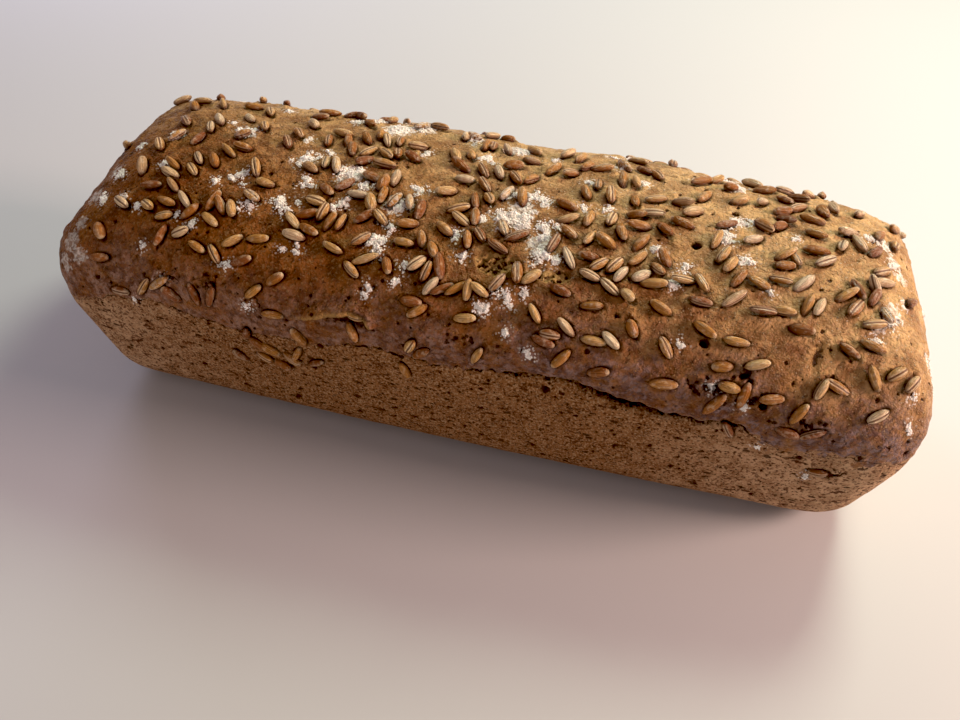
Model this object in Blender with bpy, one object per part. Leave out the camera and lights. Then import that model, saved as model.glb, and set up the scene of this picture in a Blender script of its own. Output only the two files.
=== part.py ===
"""Roman army bread: one long wholemeal spelt loaf, baked in a tin and turned out whole.

The loaf lies along X and stands on its flat bottom, with +Z up. Its long front side faces -Y.
It is one solid: a block is divided into a grid, and each of its points is then carried onto the
loaf's surface. The flat sides of the block become the walls that the tin shaped, and its top
becomes the dome that rose above the tin's edge.
"""

import bmesh
import bpy
import numpy as np

MM = 0.001

# The tin-shaped part: its size at the rim line, where the dough left the tin.
RIM_LENGTH = 290.0 * MM
RIM_WIDTH = 107.5 * MM
RIM_HEIGHT_AT_ENDS = 43.5 * MM
RIM_RISE_AT_MIDDLE = 12.5 * MM
RIM_DROP_RIGHT = 4.0 * MM

# The walls lean in towards the bottom, as the tin's do, and the bottom edge is round.
TAPER_LEFT_END = 8.6 * MM
TAPER_RIGHT_END = 7.9 * MM
TAPER_LONG_SIDES = 8.1 * MM
BOTTOM_EDGE_RADIUS = 12.5 * MM
BOTTOM_EDGE_SHARE = 0.3

# Corner radii seen from above: front left, back left, front right, back right.
CORNER_RADII = {(-1, -1): 11.0 * MM, (-1, 1): 19.5 * MM, (1, -1): 16.0 * MM, (1, 1): 12.0 * MM}

# The risen top. It falls off at its ends and long sides along quarter superellipses.
CROWN_HEIGHT = 84.0 * MM
CROWN_RISE_AT_MIDDLE = 2.6 * MM
CROWN_DROP_TO_RIGHT = 3.3 * MM
CROWN_TILT_TO_BACK = 1.4 * MM
DOME_POWER_ACROSS = 2.2
DOME_POWER_ALONG = 2.8
DOME_END_LEFT = 57.0 * MM
DOME_END_RIGHT = 40.0 * MM
DOME_CORNER_FULLNESS = 2.7

# The risen dough stands out a little over the rim line.
SHOULDER_LEFT = 2.4 * MM
SHOULDER_RIGHT = 2.3 * MM
SHOULDER_LONG_SIDES = 0.6 * MM
SHOULDER_PEAK = 0.35

# How far the whole loaf is from straight.
SIDE_BELLY = 1.2 * MM
END_BELLY = 1.8 * MM
LEFT_END_SKEW = -0.05
RIGHT_END_SKEW = -0.02
BOW = 1.9 * MM

# The split along the front rim, where the top tore away from the tin-baked wall.
SPLIT_START = -30.0 * MM
SPLIT_END = 92.0 * MM
SPLIT_DEPTH = 2.6 * MM

# Broad swells that the dough kept when it was shaped by hand: (x, y, radius, height).
SWELLS = (
    (45.0 * MM, 40.0 * MM, 16.0 * MM, 1.3 * MM),
    (105.0 * MM, 38.0 * MM, 16.0 * MM, 0.7 * MM),
    (-60.0 * MM, 40.0 * MM, 22.0 * MM, -0.6 * MM),
    (8.0 * MM, 40.0 * MM, 15.0 * MM, -0.7 * MM),
    (-6.0 * MM, 0.0 * MM, 14.0 * MM, -1.2 * MM),
    (-100.0 * MM, -18.0 * MM, 24.0 * MM, 0.8 * MM),
    (86.0 * MM, -16.0 * MM, 20.0 * MM, 0.9 * MM),
    (20.0 * MM, -30.0 * MM, 18.0 * MM, 0.6 * MM),
)

# Grid lines of the block along X, Y and Z.
CUTS_ALONG = 47
CUTS_ACROSS = 17
CUTS_UP = 13

# The top crust, shiny and browned.
CRUST_COLOUR = (0.27, 0.13, 0.05, 1.0)
CRUST_ROUGHNESS = 0.55

HALF_LENGTH = RIM_LENGTH / 2
HALF_WIDTH = RIM_WIDTH / 2


def clear_scene():
    for old in list(bpy.data.objects):
        bpy.data.objects.remove(old, do_unlink=True)


def divide(bm, axis, cuts):
    """Cut every edge of the block that runs along one axis."""
    others = [i for i in range(3) if i != axis]
    edges = []
    for edge in bm.edges:
        run = edge.verts[1].co - edge.verts[0].co
        if abs(run[others[0]]) < 1e-6 and abs(run[others[1]]) < 1e-6:
            edges.append(edge)
    bmesh.ops.subdivide_edges(bm, edges=edges, cuts=cuts, use_grid_fill=True)


def block_grid():
    """A block from -1 to 1 on each axis, with the loaf's grid lines on all six sides."""
    bm = bmesh.new()
    bmesh.ops.create_cube(bm, size=2.0)
    divide(bm, 0, CUTS_ALONG)
    divide(bm, 1, CUTS_ACROSS)
    divide(bm, 2, CUTS_UP)
    bmesh.ops.recalc_face_normals(bm, faces=bm.faces)
    return bm


def quarter_turn(share, power):
    """Out and up along a quarter of a superellipse, as its sine and cosine."""
    angle = np.clip(share, 0.0, 1.0) * np.pi / 2
    return np.sin(angle) ** (2 / power), np.cos(angle) ** (2 / power)


def spread_along(u):
    """X of a grid line, closer together over the rounded ends, and the dome's height share there."""
    x = u * HALF_LENGTH
    end = np.where(u < 0, DOME_END_LEFT, DOME_END_RIGHT)
    share = (np.abs(x) - (HALF_LENGTH - end)) / end
    out, up = quarter_turn(share, DOME_POWER_ALONG)
    rounded = np.sign(x) * (HALF_LENGTH - end + end * out)
    return np.where(share > 0, rounded, x), up


def rim_height(x):
    """The rim line rises towards the middle of the loaf and runs down at its right end."""
    along = x / HALF_LENGTH
    risen = RIM_HEIGHT_AT_ENDS + RIM_RISE_AT_MIDDLE * (1 - along**2)
    return risen - RIM_DROP_RIGHT * np.clip(along, 0.0, 1.0) ** 3


def crown_height(x, y):
    along = x / HALF_LENGTH
    level = CROWN_HEIGHT + CROWN_TILT_TO_BACK * y / HALF_WIDTH
    return level + CROWN_RISE_AT_MIDDLE * (1 - along**2) - CROWN_DROP_TO_RIGHT * along


def dome_share(side, end):
    """The smaller of the side's and the end's height share, rounded where they are alike."""
    side = np.maximum(side, 1e-6)
    end = np.maximum(end, 1e-6)
    power = DOME_CORNER_FULLNESS
    share = (side**-power + end**-power - 1) ** (-1 / power)
    return np.where(share < 1e-5, 0.0, share)


def wall_profile(up, rim):
    """Height of a wall point, and how far the round bottom edge pulls it in."""
    turn = np.clip(up / BOTTOM_EDGE_SHARE, 0.0, 1.0) * np.pi / 2
    above = (up - BOTTOM_EDGE_SHARE) / (1 - BOTTOM_EDGE_SHARE)
    on_edge = up < BOTTOM_EDGE_SHARE
    z = np.where(
        on_edge,
        BOTTOM_EDGE_RADIUS * (1 - np.cos(turn)),
        BOTTOM_EDGE_RADIUS + (rim - BOTTOM_EDGE_RADIUS) * above,
    )
    inset = np.where(on_edge, BOTTOM_EDGE_RADIUS * (1 - np.sin(turn)), 0.0)
    return z, inset


def corner_radius(u, v):
    radius = np.zeros_like(u)
    for (side_x, side_y), size in CORNER_RADII.items():
        here = (np.where(u < 0, -1, 1) == side_x) & (np.where(v < 0, -1, 1) == side_y)
        radius[here] = size
    return radius


def round_corners(x, y, half_x, half_y, radius):
    """Carry the square corners of a level outline onto quarter circles."""
    over_x = np.clip(np.abs(x) - (half_x - radius), 0.0, None)
    over_y = np.clip(np.abs(y) - (half_y - radius), 0.0, None)
    reach = np.maximum(np.hypot(over_x, over_y), 1e-12)
    keep = np.where(reach > 1e-9, np.maximum(over_x, over_y) / reach, 1.0)
    x = np.sign(x) * (np.abs(x) - over_x + over_x * keep)
    y = np.sign(y) * (np.abs(y) - over_y + over_y * keep)
    return x, y


def shoulder(x, y, lift, radius):
    """Push the risen dough out over the rim line."""
    swell = np.clip(lift / SHOULDER_PEAK, 0.0, 1.0) * np.clip((1 - lift) / (1 - SHOULDER_PEAK), 0.0, 1.0)
    swell = np.where(lift > 0, swell, 0.0)
    near = 1.2 * radius
    at_end = np.clip((np.abs(x) - (HALF_LENGTH - near)) / near, 0.0, 1.0)
    at_side = np.clip((np.abs(y) - (HALF_WIDTH - near)) / near, 0.0, 1.0)
    out_x = np.where(x < 0, SHOULDER_LEFT, SHOULDER_RIGHT)
    x = x + np.sign(x) * out_x * swell * at_end
    y = y + np.sign(y) * SHOULDER_LONG_SIDES * swell * at_side
    return x, y


def bend_plan(x, y):
    """The sides and ends belly out, the ends are out of square, and the whole loaf is bowed."""
    along = x / HALF_LENGTH
    y = y * (1 + SIDE_BELLY * (1 - along**2) / HALF_WIDTH)
    x = x + np.sign(x) * END_BELLY * (1 - (y / HALF_WIDTH) ** 2) * along**4
    x = x + np.where(x < 0, LEFT_END_SKEW, RIGHT_END_SKEW) * y * along**2
    y = y + BOW * (x / HALF_LENGTH) ** 2
    return x, y


def open_split(x, y, on_front_rim):
    """Pull the front rim line in, so that the top overhangs a split above the wall."""
    share = np.clip((x - SPLIT_START) / (SPLIT_END - SPLIT_START), 0.0, 1.0)
    depth = SPLIT_DEPTH * np.sin(np.pi * share)
    return y + np.where(on_front_rim, depth, 0.0)


def add_swells(x, y, z, lift):
    for at_x, at_y, radius, height in SWELLS:
        near = np.exp(-((x - at_x) ** 2 + (y - at_y) ** 2) / (2 * radius**2))
        z = z + height * near * np.clip(lift / 0.3, 0.0, 1.0)
    return z


def loaf_points(grid):
    """Carry the block's grid points, as rows of u, v and w from -1 to 1, onto the loaf."""
    u, v, w = grid.T
    on_wall = w < 1 - 1e-6
    up = (w + 1) / 2
    x, end_share = spread_along(u)
    out, side_share = quarter_turn(np.abs(v), DOME_POWER_ACROSS)
    y = np.sign(v) * HALF_WIDTH * out
    rim = rim_height(x)
    crown = crown_height(x, y)

    wall_z, inset = wall_profile(up, rim)
    lean = 1 - wall_z / rim
    half_x = HALF_LENGTH - inset - np.where(u < 0, TAPER_LEFT_END, TAPER_RIGHT_END) * lean
    half_y = HALF_WIDTH - inset - TAPER_LONG_SIDES * lean
    radius = corner_radius(u, v)
    x = x * half_x / HALF_LENGTH
    y = y * half_y / HALF_WIDTH
    x, y = round_corners(x, y, half_x, half_y, radius)

    dome_z = rim + (crown - rim) * dome_share(side_share, end_share)
    z = np.where(on_wall, wall_z, dome_z)
    lift = (z - rim) / (crown - rim)
    x, y = shoulder(x, y, lift, radius)
    x, y = bend_plan(x, y)
    z = np.where(on_wall, z, add_swells(x, y, z, lift))
    y = open_split(x, y, ~on_wall & (v < -1 + 1e-6))
    return np.column_stack([x, y, z])


def centred(points):
    """Stand the loaf on Z = 0 with its bounding box centred over the origin."""
    low = points.min(axis=0)
    high = points.max(axis=0)
    shift = (low + high) / 2
    shift[2] = low[2]
    return points - shift


def crust_material():
    material = bpy.data.materials.new("browned crust")
    material.use_nodes = True
    shader = material.node_tree.nodes["Principled BSDF"]
    shader.inputs["Base Color"].default_value = CRUST_COLOUR
    shader.inputs["Roughness"].default_value = CRUST_ROUGHNESS
    shader.inputs["Metallic"].default_value = 0.0
    return material


def make_loaf(collection):
    bm = block_grid()
    grid = np.array([vert.co[:] for vert in bm.verts])
    points = centred(loaf_points(grid))
    for vert, point in zip(bm.verts, points):
        vert.co = point
    mesh = bpy.data.meshes.new("loaf")
    bm.to_mesh(mesh)
    bm.free()
    mesh.shade_smooth()
    mesh.materials.append(crust_material())
    loaf = bpy.data.objects.new("loaf", mesh)
    collection.objects.link(loaf)
    return loaf


def main():
    clear_scene()
    collection = bpy.data.collections.new("roman army bread")
    bpy.context.scene.collection.children.link(collection)
    make_loaf(collection)


main()
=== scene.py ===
import math

import bpy
import numpy as np
from mathutils import Matrix, Quaternion, Vector, kdtree
from mathutils.bvhtree import BVHTree


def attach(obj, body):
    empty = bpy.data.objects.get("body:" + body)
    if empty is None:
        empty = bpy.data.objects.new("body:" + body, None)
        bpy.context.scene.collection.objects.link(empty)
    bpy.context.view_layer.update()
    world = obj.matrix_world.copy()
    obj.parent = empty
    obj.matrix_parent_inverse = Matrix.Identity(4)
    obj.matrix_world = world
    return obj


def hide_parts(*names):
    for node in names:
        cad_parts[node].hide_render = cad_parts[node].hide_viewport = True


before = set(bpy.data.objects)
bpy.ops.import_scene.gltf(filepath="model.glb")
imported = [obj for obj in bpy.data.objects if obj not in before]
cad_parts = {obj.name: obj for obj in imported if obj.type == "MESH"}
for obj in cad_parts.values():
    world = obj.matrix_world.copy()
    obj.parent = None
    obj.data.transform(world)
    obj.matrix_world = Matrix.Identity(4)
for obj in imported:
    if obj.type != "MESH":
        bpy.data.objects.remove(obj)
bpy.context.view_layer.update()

# The camera. It looks down on the loaf from in front and a little from its right end, from about a
# third of a metre away and through a wide lens.
CAMERA_TURN = math.radians(13.88)
CAMERA_HEIGHT = math.radians(46.01)
CAMERA_ROLL = math.radians(1.34)
CAMERA_DISTANCE = 0.3386
CAMERA_AIM = Vector((-0.0018, 0.0013, 0))
CAMERA_FIELD = math.radians(60)

towards_camera = Vector((math.sin(CAMERA_TURN) * math.cos(CAMERA_HEIGHT),
                         -math.cos(CAMERA_TURN) * math.cos(CAMERA_HEIGHT),
                         math.sin(CAMERA_HEIGHT)))
looking = towards_camera.to_track_quat("Z", "Y") @ Quaternion((0, 0, 1), CAMERA_ROLL)
bpy.ops.object.camera_add(location=CAMERA_AIM + CAMERA_DISTANCE * towards_camera,
                          rotation=looking.to_euler())
camera = bpy.context.object
camera.data.angle = CAMERA_FIELD
camera.data.clip_start = 0.01
bpy.context.scene.camera = camera
view = bpy.context.scene.view_settings
view.view_transform = "Standard"
# The camera's own black point, which deepens the browns in the shade.
BLACK_POINT = 0.008
view.use_curve_mapping = True
view.curve_mapping.black_level = (BLACK_POINT,) * 3
view.curve_mapping.update()


# The loaf. Wholemeal dough was proved and baked in a lidless loaf tin: the walls took the tin's
# straight sides, and the top rose over the rim, split from the wall along the front and browned.
MM = 1000
VOXEL = 0.8 / MM
MOST_TRIANGLES = 194000


def deselect_all():
    """Leaves edit mode, with nothing selected."""
    if bpy.context.object and bpy.context.object.mode != "OBJECT":
        bpy.ops.object.mode_set(mode="OBJECT")
    bpy.ops.object.select_all(action="DESELECT")


def edit(piece, mode="EDIT"):
    """Makes this the only selected piece, and opens it for editing."""
    deselect_all()
    piece.select_set(True)
    bpy.context.view_layer.objects.active = piece
    bpy.ops.object.mode_set(mode=mode)


def apply_modifier(piece, kind, **settings):
    modifier = piece.modifiers.new(kind.title(), kind)
    for name, value in settings.items():
        setattr(modifier, name, value)
    edit(piece, "OBJECT")
    bpy.ops.object.modifier_apply(modifier=modifier.name)


crust = bpy.data.objects.new("browned_crust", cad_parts["loaf"].data.copy())
bpy.context.scene.collection.objects.link(crust)
edit(crust)
bpy.ops.mesh.select_all(action="SELECT")
bpy.ops.mesh.remove_doubles(threshold=0.00001)
bpy.ops.mesh.tris_convert_to_quads(face_threshold=math.radians(50), shape_threshold=math.radians(70))
bpy.ops.object.mode_set(mode="OBJECT")
apply_modifier(crust, "SUBSURF", levels=2, render_levels=2)
apply_modifier(crust, "REMESH", mode="VOXEL", voxel_size=VOXEL, use_smooth_shade=True)
apply_modifier(crust, "SMOOTH", factor=0.5, iterations=4)

# Where the browned top meets the tin's wall, read along the front: mm along, mm up.
RIM_FRONT = ((-150, 45), (-130, 48), (-118, 53), (-100, 55), (-88, 52), (-72, 50.5), (-45, 51),
             (-27, 55.6), (-4, 53), (14, 54.5), (30, 56.8), (42, 57.6), (50, 54.4), (60, 52.9),
             (70, 51.5), (80, 51.2), (86, 52.8), (92, 53.6), (99, 47.5), (111, 44.5), (126, 48),
             (140, 45), (150, 41))
RIM_AT_ENDS = 43.5
RIM_RISE = 11.5
RIM_DROP_RIGHT = 3.5
HALF_LENGTH = 145


def smooth_step(value, low, high):
    share = np.clip((value - low) / (high - low), 0, 1)
    return share * share * (3 - 2 * share)


def points_of(piece):
    """A piece's points and their normals, in mm."""
    count = len(piece.data.vertices)
    points = np.empty(count * 3)
    normals = np.empty(count * 3)
    piece.data.vertices.foreach_get("co", points)
    piece.data.vertices.foreach_get("normal", normals)
    return points.reshape(-1, 3) * MM, normals.reshape(-1, 3)


def move_points(piece, points):
    piece.data.vertices.foreach_set("co", (points / MM).ravel())
    piece.data.update()


def rim_height(points):
    """Height of the line between the browned top and the tin's wall, beside each point."""
    along = points[:, 0]
    front = np.interp(along, *zip(*RIM_FRONT))
    plain = RIM_AT_ENDS + RIM_RISE * (1 - (along / HALF_LENGTH) ** 2)
    plain -= RIM_DROP_RIGHT * smooth_step(along, 0, HALF_LENGTH)
    plain += 1.4 * np.sin(along / 11.0) + 0.9 * np.sin(along / 4.7 + 1)
    at_back = smooth_step(points[:, 1], -25, 25)
    ragged = 0.35 * np.sin(along / 1.9) + 0.3 * np.sin(along / 0.83 + 2)
    return front * (1 - at_back) + plain * at_back + ragged


def paint(piece, name, values, group=False):
    """Stores a value for each point as an attribute, and if asked as a vertex group too."""
    attribute = piece.data.attributes.get(name) or piece.data.attributes.new(name, "FLOAT", "POINT")
    attribute.data.foreach_set("value", np.asarray(values, np.float32))
    if group:
        made = piece.vertex_groups.new(name=name)
        levels = np.round(np.clip(values, 0, 1) * 20).astype(int)
        for level in range(1, 21):
            made.add(np.flatnonzero(levels == level).tolist(), level / 20, "REPLACE")


points, normals = points_of(crust)
above_rim = points[:, 2] - rim_height(points)
on_top = smooth_step(above_rim, -1.0, 3.5)
paint(crust, "rising", 0.25 + 0.75 * on_top, group=True)

# Dough relief, coarse to fine: size and height in mm of lumps, dimples and the fine goose skin.
RELIEF = (("lumps", 30, 1.5), ("dimples", 11, 1.0), ("goose_skin", 4, 0.45), ("grit", 1.7, 0.28))
for name, size, height in RELIEF:
    pattern = bpy.data.textures.new(name, "CLOUDS")
    pattern.noise_scale = size / MM
    pattern.noise_depth = 1
    apply_modifier(crust, "DISPLACE", texture=pattern, texture_coords="LOCAL", mid_level=0.5,
                   strength=height / MM, vertex_group="rising")
crust.vertex_groups.clear()


# Grains that show singly from in front, read off the photo: mm along the loaf, mm across
# it, and how many degrees each is turned from the loaf's length.
GRAINS_ON_TOP = (
    (-122.5, -41, -62), (-121, -47, 15), (-116, -19, 100), (-115, -8.5, -56), (-113, 6.5, -47),
    (-109, -26.5, 12), (-117, -33, -30), (-107, -33.5, -30), (-105, -17.5, -32), (-104.5, -21, -18),
    (-101.5, -25.5, -42), (-101, -31.5, -15), (-100, -36, 25), (-99, -41.5, 80), (-103, -3.5, 80),
    (-98, -13, -52), (-97.5, -18.5, -45), (-92, -13, -56), (-89.5, -7.5, -36), (-85.5, -4.5, -5),
    (-95, -30, -48), (-91.5, -33.5, 50), (-85, -29, 75), (-82, -30, -55), (-78, -30.5, -65),
    (-92.5, -40, 35), (-85.5, -43, -28), (-84, -35, -32), (-79, -44, -60), (-74, -40, 45),
    (-76.5, -13.5, -65), (-71, -19, 0), (-73, -25, -30), (-69.5, -44.5, 32), (-84, 9.5, -60),
    (-92, 14, -45), (-101, 9, -52), (-102, 4, -62), (-118, 21, -52), (-107, 22.5, -56),
    (-95.5, 24, 10), (-88, 22, -60), (-72, 2, -55), (-71, 9, -52), (-69, 17.5, -50),
    (-56.5, 14.5, 0), (-59.5, 8, -75), (-53, 10, -70), (-47.5, 14, -50), (-49.5, 5, -72),
    (-40.5, 15, -65), (-36, 16, -80), (-44, 5.5, 60), (-43, -0.5, 50), (-37.5, 6, -40),
    (-34, 7.5, -72), (-28.5, 7, -25), (-29, 14, 20), (-36, -0.5, 5), (-55, -5, -80),
    (-51, -6, -68), (-59, -9, -25), (-33, -10, 80), (-30, -6.5, -88), (-37.5, -8, -15),
    (-45, -13.5, 50), (-50, -17, -40), (-31.5, -15, -85), (-27, -16.5, 70), (-22, -16, -70),
    (-18, -18, 90), (-39, -17, 5), (-34, -19.5, -68), (-29, -24.5, -38), (-34, -25, 45),
    (-51.5, -22.5, -12), (-53, -27.5, 25), (-48, -26, 78), (-44.5, -29, 72), (-41, -28.5, 80),
    (-56.5, -30.5, -42), (-54.5, -35, -5), (-50.5, -32.5, -22), (-40.5, -37, -22), (-32.5, -33, 52),
    (-29.5, -38.5, 32), (-33, -42, -42), (-22, -39.5, -65), (-66, -38, 12), (-57, -47, 50),
    (-64, -50, 65), (-19, -31.5, -3), (-14, -29, -68), (-9.5, -32, -62), (-20, -24.5, 22),
    (-8, -23.5, -35), (-4, -18.5, -28), (-12, -8, 32), (-6.5, -14, 28), (-8, 0, 8),
    (-11.5, 7, -28), (-3.5, 7, -55), (-10, 15, -68), (-15, 13, -60), (-1, -1, -52),
    (-2, -9.5, -72), (-6, -36.5, -72), (-13, -37, 55), (-9.5, -39, 80), (-7, -42.5, 68),
    (-3.5, -42.5, 42), (-12, -47, 0), (-9.5, -48.5, 50), (0, -26, -75), (0, -16.5, -80),
    (2, -7, -60), (3.5, -23.5, -52), (2, 7, -60), (8, 5.5, -55), (13, 6.5, 58),
    (5.5, 12.5, 20), (10.5, 18.5, 10), (19, 14.5, 60), (25, 14, 40), (32, 4, -65),
    (35, 10, -85), (40, 4.5, -78), (42.5, 15, -80), (47, 15, -75), (48, 4, -75),
    (54.5, 7, 25), (54, -1, 5), (63, 7.5, -10), (66.5, 3.5, 35), (64, -3, -15),
    (69.5, 14.5, 60), (77.5, 1, 35), (7, -3.5, 68), (12.5, -4.5, -75), (27, -4, -20),
    (28.5, -10.5, 28), (35, -8.5, 82), (42, -7, 80), (49.5, -3, 0), (51, -8, 12),
    (59, -7.5, -50), (46, -12, -68), (52.5, -14.5, 60), (30, -16.5, -35), (37, -17, 68),
    (42, -17.5, -30), (26.5, -22, 78), (32, -26, -58), (38, -24, 2), (41.5, -26.5, 48),
    (46, -25.5, 60), (52.5, -21, 55), (59, -23.5, -52), (60.5, -19, -60), (48.5, -28, 65),
    (54.5, -27, 42), (58.5, -28.5, 10), (10, -27, -25), (10, -19.5, -62), (15, -22, 32),
    (39.5, -30.5, -15), (46, -32.5, -35), (51.5, -34, -38), (32, -37, -15), (22.5, -35, 50),
    (18, -34.5, -78), (13, -38.5, 62), (8, -41, -32), (4.5, -41.5, 90), (1, -41.5, 48),
    (26, -44, -58), (36, -45.5, -45), (31.5, -48, 0), (5.5, -48, 15), (30, -49.5, -20),
    (44.5, -47, 0), (49.5, -46, -45), (55, -42.5, -62), (62, -35, -28), (65.5, -44.5, -60),
    (42, -39, 10), (67, -25.5, 5), (72.5, -25.5, -55), (73, -31, 0), (75.5, -38.5, -30),
    (75, -7.5, 75), (77.5, -13.5, 65), (67, -51, 12), (81, 16.5, 30), (88.5, 19.5, 52),
    (95, 15.5, 30), (96, 10.5, -25), (89, 4, -45), (94, 6, 50), (104.5, 14, -15),
    (105.5, 6, -15), (100, 20, 45), (108, 20, -65), (112, 25.5, -75), (115.5, 11, 20),
    (119, 7, -60), (113.5, 3, 72), (124, 6, 50), (126.5, 17, 60), (86, -4, 35),
    (80, -16.5, 65), (83, -21, 62), (89, -21, -22), (95, -18.5, -3), (102, -17.5, 50),
    (96, -8, 40), (99, -8.5, -60), (96, -12.5, 15), (105.5, -3, -3), (108, -7, 40),
    (114.5, -17.5, 45), (117.5, -21, 62), (118, -14, -58), (123, -15, 72), (123.5, -10.5, -50),
    (127, -19.5, -60), (123.5, -24, 20), (126, -2, 35), (126.5, -6.5, 25), (136, -7.5, 50),
    (103.5, -24.5, 80), (107, -24, 72), (82.5, -28, 48), (91, -30, 3), (97, -28.5, 0),
    (102.5, -32.5, -5), (117, -34, -30), (123.5, -31, -15), (125, -39, -62), (131, -36, 50),
    (136, -36.5, 72), (85, -39.5, 0), (82.5, -45.5, 15), (92, -43.5, 28), (85.5, -49, -8),
    (98, -49, 20), (106.5, -50, 80), (111, -44.5, 80), (115, -43, -28), (128, -46, 55))
# Those along the far edge, which shows edge on, by the pixel where each one's middle is in the
# photo: pixels across and down, and how many degrees it is turned there from level.
GRAINS_BY_PIXEL = (
    (183, 100, 20), (203, 101, 0), (221, 97, 60), (264, 98, 35), (287, 103, 0), (127, 145, 5),
    (177, 135, 30), (243, 133, 15), (320, 115, -10), (331, 113, -10), (353, 115, 0),
    (361, 117, -20), (370, 123, -35), (393, 120, 5), (381, 133, 80), (424, 126, 0),
    (440, 128, -15), (466, 136, 60), (474, 137, -10), (493, 136, 0), (508, 138, -10),
    (486, 145, 60), (495, 146, 75), (508, 149, -45), (535, 150, -25), (568, 154, 20),
    (580, 158, 20), (588, 167, 15), (602, 168, 0), (624, 164, -20), (639, 160, -15),
    (646, 170, -15), (658, 174, -45), (673, 163, 75), (702, 182, 10), (716, 180, 5),
    (730, 188, -10), (752, 183, -15), (766, 189, -10), (785, 190, -5), (785, 198, -25),
    (798, 198, -15), (808, 195, 0), (822, 195, 0), (860, 214, 10), (895, 229, -30),
    (896, 244, 70))
# The same for the steep front flank, where the second number is mm up.
GRAINS_ON_FLANK = (
    (-98, 62.5, 40), (-85, 61.5, -60), (-79, 62, 75), (-57, 60.5, 0), (-68, 50, 70), (-65, 46, -35),
    (-74, 35.5, -60), (-58, 36, -20), (-48.5, 54, -55), (-51, 44.5, 65), (-28.5, 66, -4),
    (-29.5, 61, -70), (-10.5, 60, 65), (-7, 57.5, 45), (11, 61.5, 65), (36.5, 65.5, 55),
    (48, 63.5, 22), (90.5, 63, 80), (83, 59.5, 55), (112.5, 55, 25), (89, 51, -60), (119, 38, 10),
    (-64.5, 38, -8), (-45, 41, 35), (-114, 56, 5), (-13, 48, -70), (105.5, 54, -5),
    (-54, 41, -20), (-61, 44, -30), (-104, 60, 60), (-93.5, 59.5, -40))

# Flour that fell on the dough, read off the same way: mm along, mm across, reach in mm.
FLOUR_ON_TOP = (
    (-125, -22, 2.4), (-127, -31, 2), (-81, -17.5, 3.5),
    (-88, -22.5, 2), (-88, 4.5, 3), (-109, -18, 1.5), (-111, -34.5, 1.8), (-118, -31.5, 1.5),
    (-96, -36, 1.2), (-90, -38, 1.5), (-74, -29, 3), (-75, -47, 1.6), (-124, -8, 2), (-112, -2, 2.5),
    (-96, 9, 1.5), (-105, -45.5, 1.1), (-62.5, -3.5, 4.5), (-56, 0, 1.5), (-47.5, -10, 4.2),
    (-43, -6, 2), (-38, -13, 2.5), (-57.5, -16.5, 3), (-62.5, -27, 4), (-43, -22.5, 2.8),
    (-20.5, -9.5, 3), (-24.5, -19, 2.8), (-25, -28, 1.8), (-27.5, -33, 3), (-26, -36.5, 2),
    (-52.5, -40, 1.8), (-57.5, -40.5, 1), (-26.5, -48, 1.4), (-18.5, -44, 1.4), (-16.5, -40, 1.5),
    (-4, -25, 2), (-40, 27, 5), (-33, 30, 3), (-12, 27, 3), (-4.5, 14, 3), (-25, 11, 1.5),
    (0, -33, 2), (-66.5, 7, 1.5), (-48, 48, 4), (8, -14, 4.5), (14, -16, 5), (22, -17.5, 3.8),
    (20, -5, 2.5), (16.5, -3, 2.2), (9, -4, 2), (24, -29.5, 3.5), (29, -29.5, 2.2), (16.5, -42, 2.8),
    (10, -46.5, 2.6), (19, -51, 1), (22, -40.5, 1.8), (32.5, -4.5, 2), (32, 10, 2), (40, -3, 1.5),
    (58, -17, 2), (67, -22, 2), (64.5, -28.5, 1.5), (70, -44, 1.6), (41, 24, 1.6), (50, 15, 1.5),
    (4, 26, 3), (18, 23, 2), (83, 4, 3), (80, -4, 2.8), (79, -7, 2), (100, 1, 1.5), (86, -14, 2.5),
    (124, 12, 2), (131, 4, 1.6), (128.5, -22, 2), (125, -29, 1.8),
    (93, -24, 1), (138, -40, 1), (139, -46, 1.5))
FLOUR_ON_FLANK = ((-66, 61, 1.1), (27, 65.5, 1.2), (99, 45, 1.2),
                  (116.5, 34, 1), (81, 64.5, 1.2), (91.5, 60, 1), (-97, 64, 1), (-109, 54, 1))
# Flour rubbed thin into the skin, read off and given the same way.
FILMS_ON_TOP = ((129, 13.5, 3.4), (132, 7, 3.4), (134, 1, 3.2), (130, -16.5, 3), (132, -18.5, 2.4),
                (134, -11.5, 2.4), (-129.5, -18, 3.4), (-132, -29, 4), (-40, 27, 6), (-31, 30, 4),
                (4, 26, 5), (14, -11, 5), (22, -24, 4), (-45, -9, 5), (-26, -19, 4), (126, -25, 2.5))
FILMS_ON_FLANK = ((-134, 66.5, 4), (-129.5, 64, 3.4), (-136.5, 60, 3.4), (-132, 71, 3))

# The crust's larger marks on the front flank (mm along, mm up) and on the top (mm along, mm
# across). The split under the browned top: mm along and half of its height there, in mm.
SPLIT = ((-150, 0.1), (-80, 0.25), (-40, 0.1), (-27, 0.4), (-4, 0.35), (6, 0.25), (20, 0.5), (26, 0.9),
         (30, 0.6), (34, 0.6), (44, 1.25), (47, 0.8), (53, 1.25), (62, 1.35), (67, 1.0), (74, 1.1),
         (77, 0.45), (79, 0.9), (84, 1.05), (87, 0.5), (90, 0.9), (93, 0.6), (96, 0.1), (150, 0.15))
SPLIT_DEPTH = 4.0
FOLD = ((-53, 59.5), (-46, 61.5), (-38, 64.3), (-30, 66), (-25, 65), (-23.5, 62))
CREASE = ((107.5, -45), (108.5, -40), (109.5, -35), (109, -32))
HOLLOWS = ((11.5, -33.5, 7.8, 3.8, 2.2), (28.5, -34, 6, 2.2, 1.3))
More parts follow.
